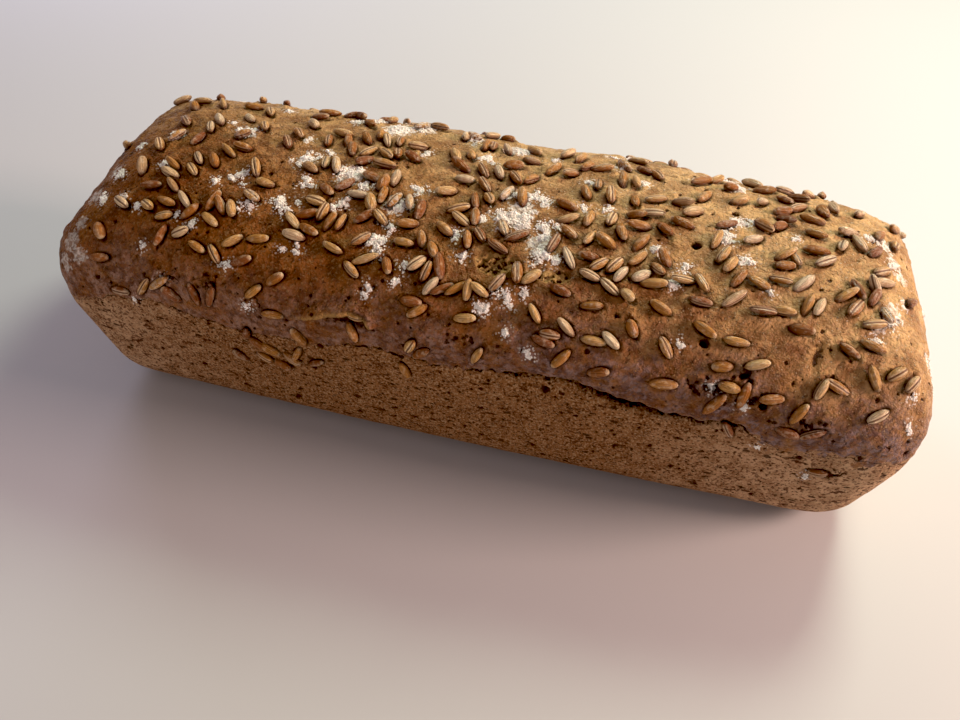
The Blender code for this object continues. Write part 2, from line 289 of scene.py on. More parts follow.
# Round holes where steam came out: place on the top and radius.
STEAM_HOLES = ((69.7, -11.8, 1.7), (76.7, -42.7, 1.5), (50.2, -41, 0.8), (119, -1.3, 0.8),
               (109, -32, 0.7), (80.4, 8, 1.2))
# Larger pores of the wall, torn voids of the flank, and patches of it with many small voids.
WALL_PORES = ((33, 51.5, 1.5), (-31.5, 33.5, 1.0), (-10, 37.5, 0.8), (-11.5, 19.5, 0.8),
              (30, 17.5, 1.1), (-2, 42, 0.8), (57.5, 27.5, 1.2), (88.5, 19.5, 1.1), (76.5, 22.5, 1.0),
              (112, 43, 1.2), (121.5, 36, 2.2), (-77.5, 15, 1.1), (-57, 15.5, 1.4), (-123, 22.5, 1),
              (-130.5, 45, 1), (-42, 50.5, 1.3), (-92, 24, 1), (-46.5, 37.5, 1.2))
TORN_VOIDS = ((76.5, 64, 1.2), (80, 63.4, 1.7), (84, 62.5, 1.3), (90.5, 67, 1.6), (96, 61.4, 1.7),
              (99, 62.5, 1.5), (108.5, 58, 1.1), (114.5, 59, 1.2), (116.5, 33.5, 1.1), (123.5, 37.5, 1.3),
              (126.5, 48.5, 1.2), (133.5, 53, 0.9), (-94, 64.5, 1.1), (-96, 63, 0.9), (-79.5, 66.5, 1.2),
              (-81.5, 65, 1.0), (-71, 66, 0.9))
VOID_PATCHES = ((79, 97, 60, 67.5, 24), (-99, -91, 64, 68, 9), (-85, -71, 64.5, 68.5, 13),
                (-66, -60, 62, 68, 5), (-1, 9, 64, 66.5, 9), (16, 22, 62, 66, 3), (100, 122, 54, 64, 12),
                (-112, -104, 68, 71, 4), (119, 126, 35, 41, 5))


def beside(flat, line):
    """How far points of a flat view lie to the left of a line, and how far along it, in mm."""
    nearest = np.full(len(flat), 1e9)
    aside = np.zeros(len(flat))
    along = np.zeros(len(flat))
    travelled = 0
    for start, end in zip(np.array(line[:-1], float), np.array(line[1:], float)):
        length = np.linalg.norm(end - start)
        step = (end - start) / length
        share = np.clip((flat - start) @ step, 0, length)
        offset = flat - start - share[:, None] * step
        distance = np.linalg.norm(offset, axis=1)
        nearer = distance < nearest
        left = np.sign(step[0] * offset[:, 1] - step[1] * offset[:, 0])
        aside[nearer] = (distance * left)[nearer]
        along[nearer] = (travelled + share)[nearer]
        nearest = np.minimum(nearest, distance)
        travelled += length
    return aside, along / travelled


def wave(values, *lengths):
    """An uneven wave between about -1 and 1, from the lengths in mm of its parts."""
    return sum(np.sin(values * 2 * math.pi / length + 1.7 * length) for length in lengths) / len(lengths)


# What is found at each point, for the sculpting here and for the material: how far inside a hole
# or a lump of flour it lies, in mm and below zero outside, and how torn or thin-lipped it is.
OUTSIDE = -4.0
chance = np.random.default_rng(21)
relieved, normals = points_of(crust)
facing_front = smooth_step(-normals[:, 1], 0.1, 0.4) * (points[:, 1] < -20)
facing_up = smooth_step(normals[:, 2], 0.2, 0.5)
on_front = points[:, [0, 2]]
from_above = points[:, [0, 1]]
push = np.zeros(len(points))
hole = np.full(len(points), OUTSIDE)
ragged = np.full(len(points), OUTSIDE)
torn = np.zeros(len(points))
lip = np.zeros(len(points))


def dent(centre, radius, depth, brim=0.15, into=hole):
    """Presses a pit into the crust, with a low brim round it, and marks it as a hole."""
    near = np.flatnonzero(np.abs(points - centre).max(axis=1) < 2.5 * radius + 1)
    distance = np.linalg.norm(points[near] - centre, axis=1)
    reach = distance / radius
    push[near] += -depth * (1 - smooth_step(reach, 0.55, 1.1)) + brim * np.exp(-((reach - 1.35) / 0.3) ** 2)
    into[near] = np.maximum(into[near], radius - distance)


# The split, with the seam that runs on from it all round as a broken hairline: a slot under the
# browned top, which stands out over it as a thin lip.
gape = np.interp(points[:, 0], *zip(*SPLIT)) * facing_front
gape *= np.where(points[:, 0] < 22, smooth_step(wave(points[:, 0], 6.1, 13, 3.7), -0.45, 0.25), 1)
gape += 0.3 * (1 - facing_front) * smooth_step(wave(points[:, 0] + points[:, 1], 9, 23, 4.1), -0.2, 0.4)
opened = smooth_step(gape, 0.35, 0.9)
push -= SPLIT_DEPTH * opened * np.exp(-((above_rim + gape) / np.maximum(gape, 0.3)) ** 4)
push += 0.5 * opened * smooth_step(above_rim, 0.2, 1.2) * (1 - smooth_step(above_rim, 1.6, 9))
push -= 0.4 * opened * smooth_step(-above_rim, 0.3, 1.6) * (1 - smooth_step(-above_rim, 1.6, 10))
lip = opened * np.exp(-((above_rim - 0.7) / 0.6) ** 2)
push -= 0.5 * smooth_step(gape, 0.1, 0.3) * np.exp(-(above_rim / 0.8) ** 2)

# The folded lip of skin: it stands up along its line and drops off sharply below it.
aside, along = beside(on_front, FOLD)
strength = smooth_step(along, 0.0, 0.35) * (1 - smooth_step(along, 0.93, 1.0)) * facing_front
push += 2.7 * strength * smooth_step(aside, -0.4, 0.4) * (1 - smooth_step(aside, 0.9, 5))
under_fold = strength * np.exp(-((aside + 1.2) / 0.9) ** 2) * smooth_step(along, 0.3, 0.7)
push -= 1.6 * under_fold
# The hollow under the fold is marked as a hole, which the material paints with shade.
hole[:] = np.maximum(hole, 0.7 * under_fold - 0.35)
lip = np.maximum(0.4 * lip, 1.8 * strength * np.exp(-((aside - 0.6) / 0.65) ** 2))

aside, along = beside(from_above, CREASE)
creased = np.exp(-(aside / 1.1) ** 2) * np.sin(math.pi * np.clip(along, 0.02, 0.98)) * facing_up
push -= 1.1 * creased
# The crease is marked as a hole too, for painted shade in it.
hole[:] = np.maximum(hole, 0.5 * creased - 0.3)

# The burst hollows among the grains, torn rough inside.
for x, y, half_long, half_wide, depth in HOLLOWS:
    reach = np.hypot((points[:, 0] - x) / half_long, (points[:, 1] - y) / half_wide)
    reach *= 1 + 0.16 * wave(points[:, 0] * 2.1 + points[:, 1], 5, 8.3)
    inside = (1 - smooth_step(reach, 0.75, 1.15)) * facing_up
    push -= depth * inside * (0.65 + 0.5 * wave(points[:, 0] * 1.3 - points[:, 1], 2.9, 4.7))
    torn = np.maximum(torn, inside)

nearest_point = kdtree.KDTree(len(points))
for index, point in enumerate(points):
    nearest_point.insert(point, index)
nearest_point.balance()
skin = BVHTree.FromObject(crust, bpy.context.evaluated_depsgraph_get())


def facing_at(spot):
    """The way the crust faces round a spot on it."""
    around = [index for _, index, _ in nearest_point.find_range(spot, 3)]
    return Vector(normals[around].mean(axis=0)).normalized()


def land(place, from_front=False):
    """Where a place on the top, or on the front flank, meets the crust, and the way it faces."""
    if from_front:
        start, way = Vector((place[0], -200, place[1])), Vector((0, 1, 0))
    else:
        start, way = Vector((place[0], place[1], 200)), Vector((0, 0, -1))
    hit = skin.ray_cast(start / MM, way)[0]
    if hit is None:
        raise ValueError(f"nothing of the crust lies at {place}")
    return hit * MM, facing_at(hit * MM)


for x, y, radius in STEAM_HOLES:
    dent(np.array(land((x, y))[0]), radius, 1.7 * radius)
for x, z, radius in WALL_PORES:
    dent(np.array(land((x, z), True)[0]), radius, 0.9 * radius, 0)
for x, z, radius in TORN_VOIDS:
    for _ in range(4):
        place = chance.normal(x, 1.1 * radius), chance.normal(z, 0.45 * radius)
        dent(np.array(land(place, True)[0]), 0.75 * radius, 0.75 * radius, 0.3, ragged)
for low_x, high_x, low_z, high_z, count in VOID_PATCHES:
    for _ in range(count):
        place = chance.uniform(low_x, high_x), chance.uniform(low_z, high_z)
        dent(np.array(land(place, True)[0]), chance.uniform(0.4, 0.9), 0.7, 0.1, ragged)
for x, y, half_long, half_wide, depth in HOLLOWS:
    for _ in range(round(1.2 * half_long)):
        place = chance.normal(x, 0.45 * half_long), chance.normal(y, 0.4 * half_wide)
        dent(np.array(land(place)[0]), chance.uniform(0.5, 1.0), 0.9, 0.2, ragged)

# Scattered pores of the wall, and blisters and shallow pits of the browned skin, all round.
POINT_AREA = (VOXEL * MM) ** 2
for wanted, where in ((0.009, on_top < 0.1), (0.005, on_top > 0.9)):
    pits = np.flatnonzero(where & (points[:, 2] > 4) & (chance.random(len(points)) < wanted * POINT_AREA))
    for index in pits:
        dent(points[index], chance.uniform(0.4, 0.85), 0.8, 0)
blisters = np.flatnonzero((on_top > 0.9) & (chance.random(len(points)) < 0.012 * POINT_AREA))
for index in blisters:
    radius = chance.uniform(1.0, 2.8)
    near = np.flatnonzero(np.abs(points - points[index]).max(axis=1) < 1.5 * radius)
    reach = np.linalg.norm(points[near] - points[index], axis=1) / radius
    push[near] += chance.uniform(0.2, 0.5) * (1 - smooth_step(reach, 0.2, 1.2))

# The grains' places: those read off the photo, then more by chance where the camera sees little
# of the top, and round the back and the ends. Grains are spelt: mm long, wide and high. Their
# middles, which were read off, stand above the skin, so the places lean towards the camera.
GRAIN_SIZE = (7.6, 3.15, 2.8)
GRAIN_SPACING = 3.8
LEAN = (0.3, -1.1)
grains = [(*land((x + LEAN[0], y + LEAN[1])), turn, False) for x, y, turn in GRAINS_ON_TOP]

# The camera's picture of the skin, raised by half a grain, for the grains placed by a pixel.
PHOTO = (960, 720)
PIXELS_PER_SLOPE = PHOTO[0] / 2 / math.tan(CAMERA_FIELD / 2)
HALF_UP = 1.3
TOP_ABOVE = 40
camera_axes = np.array(looking.to_matrix())
sight = np.array(CAMERA_AIM + CAMERA_DISTANCE * towards_camera) * MM - points


def in_picture(sights):
    """Pixels across and down of what the camera sees along these ways from it, in mm."""
    right, up, behind = (sights @ camera_axes).T
    across = PHOTO[0] / 2 - PIXELS_PER_SLOPE * right / behind
    return np.stack((across, PHOTO[1] / 2 + PIXELS_PER_SLOPE * up / behind), axis=-1)


shown = in_picture(HALF_UP * normals - sight)
shown[((normals * sight).sum(axis=1) < 0) | (points[:, 2] < TOP_ABOVE)] = np.inf
for across, down, turn_there in GRAINS_BY_PIXEL:
    nearest = np.argmin(np.linalg.norm(shown - (across, down), axis=1))
    misses = {}
    for turn in range(-90, 90, 5):
        way = np.array((math.cos(math.radians(turn)), math.sin(math.radians(turn)), 0))
        way -= way.dot(normals[nearest]) * normals[nearest]
        start, end = in_picture(np.stack((-way, way)) - sight[nearest])
        turn_shown = math.degrees(math.atan2(start[1] - end[1], end[0] - start[0]))
        misses[turn] = abs((turn_shown - turn_there + 90) % 180 - 90)
    grains.append((*land(points[nearest][:2]), min(misses, key=misses.get), False))

grains += [(*land(place[:2], True), place[2], True) for place in GRAINS_ON_FLANK]
x, y, z = points.T
read_off = (x > -126) & (x < 140) & (y < 21) & (y > -60)
wanted = np.where(y > 32, 1.0, np.where(y > 0, 0.6, 0.25)) * (above_rim > 16)
wanted += np.where(y > 0, 0.4, 0.15) * (above_rim <= 16)
wanted = wanted * (above_rim > 2.5) * ~read_off * np.where(np.abs(x) > 132, 0.3, 1)
in_view = (normals * sight).sum(axis=1) / np.linalg.norm(sight, axis=1) > -0.25
wanted = wanted * np.where(in_view & (z > 30), 0.02, 1)
tried = np.flatnonzero(chance.random(len(points)) < 1.5 * wanted * POINT_AREA / 100)
for index in chance.permutation(tried):
    spot = Vector(points[index])
    if all((spot - other[0]).length > GRAIN_SPACING for other in grains):
        facing = facing_at(spot)
        grains.append((spot, facing, chance.uniform(-90, 90), abs(facing.z) < 0.4))


def grain_axes(facing, turn, on_flank):
    """The directions along a grain and across it, as it lies on a surface that faces that way."""
    turn = math.radians(turn)
    if on_flank and abs(facing.y) > abs(facing.x):
        level = Vector((math.cos(turn), 0, math.sin(turn)))
    elif on_flank:
        level = Vector((0, math.cos(turn), math.sin(turn)))
    else:
        level = Vector((math.cos(turn), math.sin(turn), 0))
    along = (level - level.dot(facing) * facing).normalized()
    return along, facing.cross(along)


# Each grain sits in a socket that it pressed into the soft dough, with the skin drawn up to it.
# The material darkens the crust round each grain, partly as dough gathered there and partly as
# painted shade.
socket = np.zeros(len(points))
for spot, facing, turn, on_flank in grains:
    along, across = grain_axes(facing, turn, on_flank)
    near = np.flatnonzero(np.abs(points - spot).max(axis=1) < 7)
    offset = points[near] - spot
    reach = np.hypot(offset @ along / (GRAIN_SIZE[0] / 2), offset @ across / (GRAIN_SIZE[1] / 2))
    push[near] += -0.6 * (1 - smooth_step(reach, 0.7, 1.1)) + 0.35 * np.exp(-((reach - 1.35) / 0.25) ** 2)
    socket[near] = np.maximum(socket[near], 1 - smooth_step(reach, 0.85, 1.4))

# Flour that lay where it fell, in clots of a few lobes each.
clumps = [(*land(place[:2]), place[2]) for place in FLOUR_ON_TOP]
clumps += [(*land(place[:2], True), place[2]) for place in FLOUR_ON_FLANK]
at_back = np.flatnonzero((on_top > 0.9) & ~read_off & (chance.random(len(points)) < 0.0011 * POINT_AREA))
for index in at_back:
    clumps.append((Vector(points[index]), Vector(normals[index]), chance.uniform(1, 3.5)))
lobes = []
for spot, facing, radius in clumps:
    for _ in range(4 + int(2.6 * radius)):
        size = 0.25 + radius * chance.uniform(0.14, 0.36)
        middle = spot + Vector(chance.normal(0, 0.46 * radius, 3))
        lobes.append((middle, size))
films = [(*land(place[:2]), place[2]) for place in FILMS_ON_TOP]
films += [(*land(place[:2], True), place[2]) for place in FILMS_ON_FLANK]


def inside_balls(balls):
    """How far each point of the crust lies inside the nearest of some balls, in mm."""
    inside = np.full(len(points), OUTSIDE)
    for middle, size in balls:
        near = np.flatnonzero(np.abs(points - middle).max(axis=1) < size - OUTSIDE)
        distance = np.linalg.norm(points[near] - middle, axis=1)
        inside[near] = np.maximum(inside[near], size - distance)
    return inside


flour = inside_balls(lobes)
film = inside_balls([(spot, radius) for spot, _, radius in films])
push += 0.55 * smooth_step(flour, -0.4, 0.8)

push *= points[:, 2] > 1.5
relieved += normals * push[:, None]
relieved[:, 2] = np.maximum(relieved[:, 2], 0)
move_points(crust, relieved)
found = {"above_rim": np.clip(above_rim, -20, 30), "gape": gape, "hole": hole, "ragged": ragged,
         "torn": torn, "lip": lip, "flour": flour, "film": film, "socket": socket}
for name, values in found.items():
    paint(crust, name, values)
crust.data.attributes.remove(crust.data.attributes["rising"])
triangles = sum(len(face.vertices) - 2 for face in crust.data.polygons)
apply_modifier(crust, "DECIMATE", ratio=min(1, MOST_TRIANGLES / triangles))


# Crust skin: browned gluten and wholemeal bran. Amber to tan, with darker and paler bran flecks
# and tiny glints, because the steam left the skin a little glossy; the wall is matte and pored.
SMOOTH = {"interpolation_type": "SMOOTHSTEP"}
TIMES = {"operation": "MULTIPLY"}
PLUS = {"operation": "ADD"}
TIMES_PLUS = {"operation": "MULTIPLY_ADD"}
MINUS = {"operation": "SUBTRACT"}
LARGER = {"operation": "MAXIMUM"}


def colour(code):
    """A web colour as the linear one that Blender's shaders take."""
    channels = [int(code[place:place + 2], 16) / 255 for place in (1, 3, 5)]
    return [*(c / 12.92 if c <= 0.04045 else ((c + 0.055) / 1.055) ** 2.4 for c in channels), 1]


def add(tree, kind, settings, *inputs, out=0, **named):
    """Adds a node with its settings and its inputs, in order or named, and returns an output."""
    node = tree.nodes.new("ShaderNode" + kind)
    for name, value in settings.items():
        setattr(node, name, value)
    for place, value in (*enumerate(inputs), *named.items()):
        if isinstance(value, bpy.types.NodeSocket):
            tree.links.new(value, node.inputs[place])
        elif value is not None:
            node.inputs[place].default_value = value
    return node.outputs[out]


def new_material(name, piece):
    material = bpy.data.materials.new(name)
    material.use_nodes = True
    piece.data.materials.clear()
    piece.data.materials.append(material)
    return material.node_tree, material.node_tree.nodes["Principled BSDF"]


def lay(tree, under, *layers):
    """Lays colours over one another, each as far as the product of the shares after it says."""
    for over, share, *factors in layers:
        for factor in factors:
            share = add(tree, "Math", TIMES, share, factor)
        under, over = (colour(coat) if isinstance(coat, str) else coat for coat in (under, over))
        under = add(tree, "Mix", {"data_type": "RGBA"}, share, *[None] * 5, under, over, out=2)
    return under


def clouds(tree, place, size_mm, detail, low, high, to_low=0.0, to_high=1.0):
    """Soft patches of a real size, from where a noise is at one level to where it is at another."""
    cloud = add(tree, "TexNoise", {}, place, None, MM / size_mm, detail)
    return add(tree, "MapRange", SMOOTH, cloud, low, high, to_low, to_high)


def dots(tree, place, spacing_mm, radius_mm, share):
    """Uneven specks of a real size and spacing, in a share of the cells that they are spaced by."""
    cell = add(tree, "TexVoronoi", {}, place, None, MM / spacing_mm).node.outputs
    radius = radius_mm / spacing_mm
    inside = add(tree, "MapRange", SMOOTH, cell["Distance"], 1.2 * radius, 0.8 * radius)
    drawn = add(tree, "SeparateColor", {}, cell["Color"])
    drawn = add(tree, "Math", {"operation": "LESS_THAN"}, drawn, share)
    return add(tree, "Math", TIMES, inside, drawn)


def relieve(tree, surface, *reliefs):
    """Raises reliefs one over another: the height of each from 0 to 1, its depth in mm, its strength."""
    raised = None
    for height, depth_mm, strength in reliefs:
        raised = add(tree, "Bump", {}, Height=height, Distance=depth_mm / MM, Strength=strength,
                     Normal=raised)
    tree.links.new(raised, surface.inputs["Normal"])


tree, surface = new_material("browned_wholemeal_crust", crust)
place = add(tree, "TexCoord", {}, out="Object")
along_loaf = add(tree, "SeparateXYZ", {}, place).node.outputs
at = {name: add(tree, "Attribute", {"attribute_name": name}, out="Fac") for name in found}
ruffle = add(tree, "Math", MINUS, add(tree, "TexNoise", {}, place, None, MM / 1.4, 4.0), 0.5)
coarse_ruffle = add(tree, "Math", MINUS, add(tree, "TexNoise", {}, place, None, MM / 5, 2.0), 0.5)
warp = add(tree, "TexNoise", {}, place, None, MM / 1.1, 1.0, out="Color")
warped = add(tree, "VectorMath", {"operation": "MULTIPLY_ADD"}, warp, (0.8 / MM,) * 3, place)

# How pale the browned skin is: darkest at the left end in front, palest at the right end behind.
bake = add(tree, "Math", TIMES, along_loaf["X"], 0.8)
bake = add(tree, "Math", TIMES_PLUS, along_loaf["Y"], 2.8, bake)
bake = add(tree, "Math", TIMES_PLUS, coarse_ruffle, 0.1, bake)
bake = add(tree, "MapRange", SMOOTH, bake, -0.165, 0.1)
bake = add(tree, "Math", TIMES, bake, add(tree, "MapRange", SMOOTH, at["above_rim"], 0, 20, 0.4, 1.0))


def as_baked(at_dark, at_pale):
    """A share that changes with how pale the skin is."""
    return add(tree, "MapRange", SMOOTH, bake, 0.0, 1.0, at_dark, at_pale)


# Browned skin, in broad and in small soft patches, with flecks of bran, pits and dark specks.
bran = add(tree, "Math", TIMES, clouds(tree, warped, 1.0, 4.0, 0.52, 0.66), as_baked(0.35, 0.55))
skin_colour = lay(tree, "#a3632f", ("#f2c588", bake),
                  ("#b07830", clouds(tree, place, 14, 3.0, 0.4, 0.6), 0.3),
                  ("#824a1e", clouds(tree, place, 12, 4.0, 0.5, 0.4), 0.45),
                  ("#62300f", clouds(tree, place, 4.5, 5.0, 0.54, 0.42), as_baked(0.6, 0.3)),
                  ("#e3b67d", bran),
                  ("#431803", clouds(tree, warped, 1.9, 3.0, 0.37, 0.3), as_baked(0.8, 0.15)),
                  ("#5a2a0c", dots(tree, warped, 2.1, 0.3, 0.22), 0.6))

# Flour dust: a mauve-grey haze on the steep flank, which is flour and also a painted sheen of
# the light from in front, so it is strongest at the front; and pale crumbs of it high on the top.
grainy = clouds(tree, place, 1.2, 4.0, 0.4, 0.6)
to_right = add(tree, "MapRange", SMOOTH, along_loaf["X"], -0.06, 0.09)
haze_and_sheen = lay(tree, "#b8917c", ("#a18884", to_right),
           ("#5b3320", clouds(tree, warped, 3, 5.0, 0.56, 0.42), 0.7))
haze_and_sheen_shares = (clouds(tree, place, 8, 5.0, 0.34, 0.56, 0.2, 1.0),
               add(tree, "MapRange", SMOOTH, at["above_rim"], 26, 6),
               add(tree, "MapRange", SMOOTH, grainy, 0.0, 1.0, 0.45, 0.95),
               add(tree, "MapRange", SMOOTH, along_loaf["Y"], 0.0, -0.03, 0.4, 1.0))
dusted = add(tree, "MapRange", SMOOTH, at["above_rim"], 8, 20)
dusted = add(tree, "Math", TIMES, dusted, clouds(tree, place, 17, 2.0, 0.42, 0.6))
dusted = add(tree, "MapRange", SMOOTH, dusted, 0.0, 1.0, 0.7, 0.6)
crumbs = clouds(tree, warped, 0.9, 4.0, dusted, 0.72)
bits = add(tree, "MapRange", SMOOTH, at["above_rim"], 3, 12)
bits = add(tree, "Math", TIMES, dots(tree, warped, 1.4, 0.22, 0.5), bits)
skin_colour = lay(tree, skin_colour, (haze_and_sheen, *haze_and_sheen_shares),
                  (lay(tree, "#c68f4c", ("#f7dfb8", bake)), crumbs),
                  (lay(tree, "#c98f4b", ("#fbe6c4", bake)), bits))

# The tin's wall: pinkish brown and matte, palest at the ends, with fine flattened pores whose
# dark insides are painted shade.
far_out = add(tree, "Math", LARGER, along_loaf["X"], add(tree, "Math", TIMES, along_loaf["X"], -0.8))
far_out = add(tree, "Math", TIMES_PLUS, coarse_ruffle, 0.06, far_out)
flattened = add(tree, "Mapping", {}, warped, None, None, (0.5, 1, 1))
pore = dots(tree, flattened, 3.4, 0.6, 0.35)
pore = add(tree, "Math", LARGER, dots(tree, warped, 1.3, 0.3, 0.45), pore)
wall_colour = lay(tree, "#a9764b", ("#e6ba91", add(tree, "MapRange", SMOOTH, far_out, 0.05, 0.14)),
                  ("#7d4c28", clouds(tree, place, 5, 5.0, 0.58, 0.42), 0.4),
                  ("#dcb68c", clouds(tree, place, 0.7, 4.0, 0.48, 0.62), 0.65),
                  ("#562610", clouds(tree, warped, 1.1, 5.0, 0.47, 0.37), 0.75),
                  ("#50210d", clouds(tree, flattened, 2.2, 2.0, 0.36, 0.31), 0.85),
                  ("#351306", pore, 0.8))

# The wall's texture runs up into the browned skin in patches near the right end. The sockets of
# the grains are darkened, partly as dough gathered there and partly as painted shade round the
# grains; thin lips are pale, and the torn hollows show the crumb.
patched = add(tree, "MapRange", SMOOTH, along_loaf["X"], 0.085, 0.11, 4.0, 22.0)
patched = add(tree, "Math", TIMES, coarse_ruffle, patched)
browned = add(tree, "Math", TIMES_PLUS, ruffle, 4.0, at["above_rim"])
browned = add(tree, "Math", PLUS, browned, patched)
browned = add(tree, "MapRange", SMOOTH, browned, -0.6, 1.0)
lip = add(tree, "MapRange", SMOOTH, ruffle, -0.15, 0.15, 0.45, 0.8)
lip = add(tree, "Math", TIMES, at["lip"], lip)
crumb = lay(tree, "#4a2409", ("#e6b874", clouds(tree, warped, 1.6, 3.0, 0.34, 0.5)))
crust_colour = lay(tree, wall_colour, (skin_colour, browned),
                   # Painted shade round each grain, partly dough gathered in its socket.
                   ("#3a1402", at["socket"], add(tree, "MapRange", SMOOTH, ruffle, -0.15, 0.15, 0.95, 0.5)),
                   ("#d0a062", add(tree, "Math", {"operation": "MINIMUM"}, lip, 0.9)),
                   (crumb, at["torn"], 0.9))

# Holes are brown inside, with painted shade that grows darker the deeper they are; the split is
# painted almost black as shade in it, and their edges are ragged.
tatters = add(tree, "TexNoise", {}, warped, None, MM / 2, 4.0)
tatters = add(tree, "Math", TIMES_PLUS, tatters, 5.0, -2.7)
depth = add(tree, "Math", TIMES_PLUS, ruffle, 1.8, at["hole"])
depth = add(tree, "Math", LARGER, depth, add(tree, "Math", PLUS, at["ragged"], tatters))
inside_hole = add(tree, "MapRange", SMOOTH, depth, -0.1, 0.25)
from_slot = add(tree, "Math", PLUS, at["above_rim"], at["gape"])
from_slot = add(tree, "Math", TIMES_PLUS, ruffle, 2.2, from_slot)
from_slot = add(tree, "Math", {"operation": "ABSOLUTE"}, from_slot)
inside_split = add(tree, "Math", MINUS, at["gape"], from_slot)
inside_split = add(tree, "MapRange", SMOOTH, inside_split, -0.08, 0.16)
shaded_holes = add(tree, "Math", LARGER, inside_hole, inside_split)
deepest_shade = add(tree, "MapRange", SMOOTH, depth, 0.2, 1.1)
deepest_shade = add(tree, "Math", LARGER, deepest_shade, inside_split)
hole_shade_colour = lay(tree, "#4d240e", ("#1c0a03", deepest_shade))

# All of the bare crust is a little darker than its pigments; the flour on it is not.
CRUST_DARKER = 0.26
crust_colour = lay(tree, crust_colour, (hole_shade_colour, shaded_holes, 0.9), ("#000000", CRUST_DARKER))

# Flour: solid in the clots, a grainy dust round them, and rubbed thin in the films.
clotted = add(tree, "Math", TIMES_PLUS, ruffle, 2.6, at["flour"])
clotted = add(tree, "MapRange", SMOOTH, clotted, -0.35, 0.05)
dusty = add(tree, "MapRange", SMOOTH, at["flour"], -3.0, 0.3)
dusty = add(tree, "Math", TIMES, dusty, dots(tree, warped, 1.0, 0.36, 0.6))
rubbed = add(tree, "Math", TIMES_PLUS, ruffle, 9.0, at["film"])
rubbed = add(tree, "MapRange", SMOOTH, rubbed, 0.0, 1.2)
for mask, full_at, least, most in ((grainy, 1.0, 0.35, 0.9), (bake, 0.5, 0.6, 1.0)):
    mask = add(tree, "MapRange", SMOOTH, mask, 0.0, full_at, least, most)
    rubbed = add(tree, "Math", TIMES, rubbed, mask)
floury = add(tree, "Math", LARGER, add(tree, "Math", LARGER, clotted, dusty), rubbed)
crust_colour = lay(tree, crust_colour, ("#fdf6ea", floury))
tree.links.new(crust_colour, surface.inputs["Base Color"])

gloss = clouds(tree, place, 1.1, 2.0, 0.42, 0.58, 0.7, 0.38)
matte = add(tree, "Math", MINUS, browned, floury)
matte = add(tree, "MapRange", SMOOTH, matte, 0.3, 0.9, 0.9, 0.0)
tree.links.new(add(tree, "Math", LARGER, gloss, matte), surface.inputs["Roughness"])
surface.inputs["Specular IOR Level"].default_value = 0.2

# Fine relief: the bubbled skin, roughest low on the flank, then its grit, crumbs and pores.
rough = add(tree, "MapRange", SMOOTH, at["above_rim"], 18, 8)
rough = add(tree, "Math", LARGER, as_baked(0.9, 0.5), rough)
scattered = add(tree, "Math", LARGER, crumbs, bits)
scattered = add(tree, "Math", LARGER, add(tree, "Math", TIMES, bran, browned), scattered)
pitted = add(tree, "Math", TIMES, pore, add(tree, "Math", MINUS, 1.0, browned))
pitted = add(tree, "Math", LARGER, pitted, shaded_holes)
relieve(tree, surface,
        (add(tree, "TexNoise", {}, place, None, MM / 2.6, 2.0), 1.4, rough),
        (add(tree, "TexNoise", {}, place, None, MM / 1.0, 4.0), 1.1, as_baked(1.0, 0.65)),
        (scattered, 0.5, 1.0),
        (add(tree, "Math", MINUS, 1.0, pitted), 0.5, 0.9))
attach(crust, "root")
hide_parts("loaf")


# Grains of spelt, whole and raw, strewn on the wet dough. Each is a plump husked kernel with a
# narrow crease along its belly, and bakes to amber with paler tips.
bpy.ops.mesh.primitive_uv_sphere_add(segments=16, ring_count=8, radius=0.5, rotation=(0, math.pi / 2, 0))
kernels = bpy.context.object
kernels.name = "spelt_grains"
bpy.ops.object.transform_apply(location=False, rotation=True, scale=False)


def resize_points(piece, scale, chosen):
    """Resizes the points of an open piece for which chosen, given a point, is true."""
    bpy.ops.object.mode_set(mode="OBJECT")
    for part in (*piece.data.vertices, *piece.data.edges, *piece.data.polygons):
        part.select = False
    for vertex in piece.data.vertices:
        vertex.select = chosen(vertex.co)
    bpy.ops.object.mode_set(mode="EDIT")
    bpy.ops.transform.resize(value=scale, center_override=(0, 0, 0))


# The sphere's rings are widened towards blunt ends, one blunter than the other; then the crease
# is drawn in along the belly, on top here, the two lobes beside it are pulled up and together,
# and the back is drawn out to a low ridge.
edit(kernels)
bpy.ops.mesh.select_mode(type="VERT")
for low, high, wider in ((0.42, 0.49, 1.12), (0.3, 0.42, 1.05), (-0.42, -0.3, 0.97), (-0.49, -0.42, 0.82)):
    resize_points(kernels, (1, wider, wider), lambda co: low < co.x < high)
resize_points(kernels, (1, 1, 0.66), lambda co: co.z > 0.05 and abs(co.y) < 0.01)
resize_points(kernels, (1, 0.6, 0.98), lambda co: co.z > 0.05 and 0.01 < abs(co.y) < 0.6 * co.z)
resize_points(kernels, (1, 0.92, 1.12), lambda co: co.z > 0.05 and 0.6 * co.z < abs(co.y) < 1.5 * co.z)
resize_points(kernels, (1, 1, 1.14), lambda co: co.z < -0.05 and abs(co.y) < 0.01)
resize_points(kernels, (1, 0.94, 0.9), lambda co: co.z < -0.05 and abs(co.y) > 0.8 * abs(co.z))
bpy.ops.object.mode_set(mode="OBJECT")
bpy.ops.object.shade_smooth()
lie = kernels.data.attributes.new("lie", "FLOAT_VECTOR", "POINT")
lie.data.foreach_set("vector", np.array([v.co for v in kernels.data.vertices]).ravel().astype(np.float32))


def strew(piece, matrices):
    """Makes a copy of a piece for each matrix, in mm, all in one mesh; returns points per copy."""
    each = len(piece.data.vertices)
    apply_modifier(piece, "ARRAY", count=len(matrices), use_relative_offset=False)
    co, _ = points_of(piece)
    co = co.reshape(len(matrices), each, 3) / MM
    turned = np.einsum("cij,cpj->cpi", matrices[:, :3, :3], co) + matrices[:, None, :3, 3]
    move_points(piece, turned.reshape(-1, 3))
    return each


